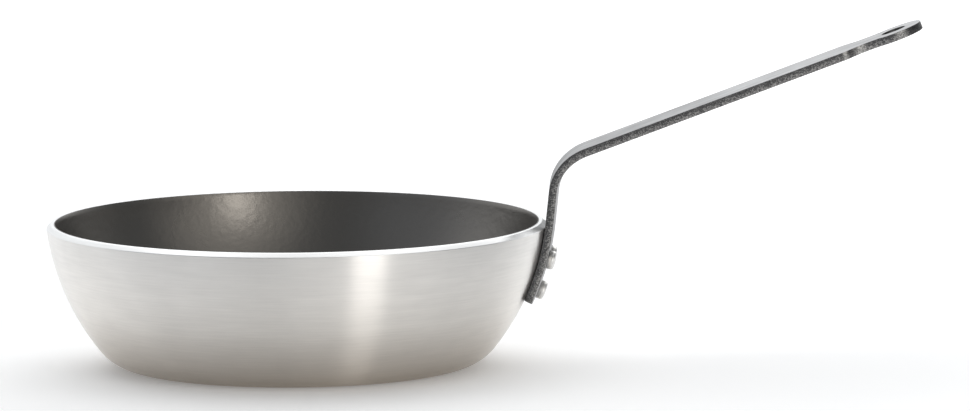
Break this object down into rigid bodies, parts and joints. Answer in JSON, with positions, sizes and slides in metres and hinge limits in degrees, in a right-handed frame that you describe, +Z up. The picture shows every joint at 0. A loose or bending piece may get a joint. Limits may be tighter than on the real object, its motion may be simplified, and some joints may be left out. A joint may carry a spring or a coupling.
{
  "type": "saute pan",
  "caption": "Round aluminium saute pan with a flared curved wall, a dark non-stick inside, a bright bare rim and a long bent steel strip handle, riveted on and ending in a hanging eye.",
  "frame": {"origin": "middle of the flat underside of the pan", "axes": "+Z up out of the pan's mouth, +X from the pan's axis out along the handle"},
  "size_m": [0.4906, 0.28, 0.1921],
  "materials": {
    "pan_aluminium": "turned and brushed round the pan, with a bright machined rim",
    "nonstick_coating": "satin dark grey film, sprayed and baked on",
    "handle_steel": "satin faces, coarse dark sheared edges",
    "rivet_aluminium": "plain formed heads"
  },
  "bodies": {
    "root": {"pan_body": "pan_aluminium", "nonstick_coating": "nonstick_coating", "handle": "handle_steel", "rivet_upper_left": "rivet_aluminium", "rivet_upper_right": "rivet_aluminium", "rivet_lower": "rivet_aluminium"}
  },
  "joints": []
}
